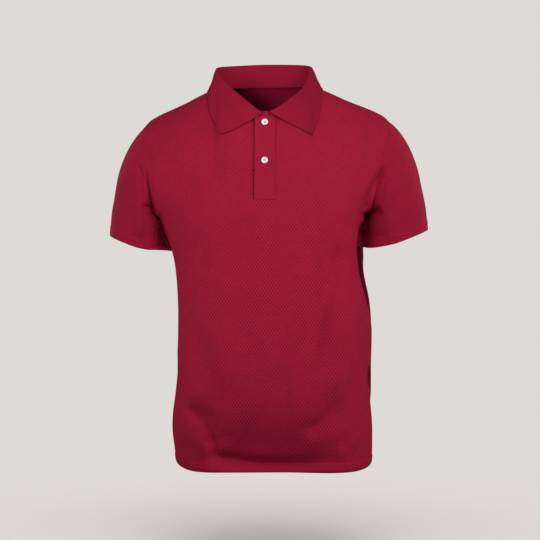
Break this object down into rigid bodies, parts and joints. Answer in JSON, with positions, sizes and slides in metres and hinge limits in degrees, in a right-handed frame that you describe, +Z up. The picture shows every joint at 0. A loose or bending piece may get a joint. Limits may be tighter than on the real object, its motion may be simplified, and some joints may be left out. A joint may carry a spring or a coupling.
{
  "type": "short-sleeved knitted polo shirt",
  "caption": "Hollow short-sleeved polo shirt in textured knit, filled out as worn, with a folded collar, a buttoned placket and plain bands at cuffs and hem.",
  "frame": {"origin": "middle of the neck base, level with the points where the shoulder seams meet the collar, where a wearer's shoulders carry the shirt", "axes": "+Z up, the front faces -Y, +X towards the wearer's left sleeve"},
  "size_m": [0.5869, 0.2483, 0.7543],
  "materials": {
    "knit": "matte textured tuck-stitch knit",
    "rib": "matte plain fine knit",
    "button": "polished white"
  },
  "bodies": {
    "root": {"front_panel": "knit", "back_panel": "knit", "sleeve_left": "knit", "sleeve_right": "knit", "collar": "rib", "placket_top": "rib", "placket_under": "rib", "hem_band_front": "rib", "hem_band_back": "rib", "cuff_band_left": "rib", "cuff_band_right": "rib", "button_1": "button", "button_2": "button"}
  },
  "joints": []
}
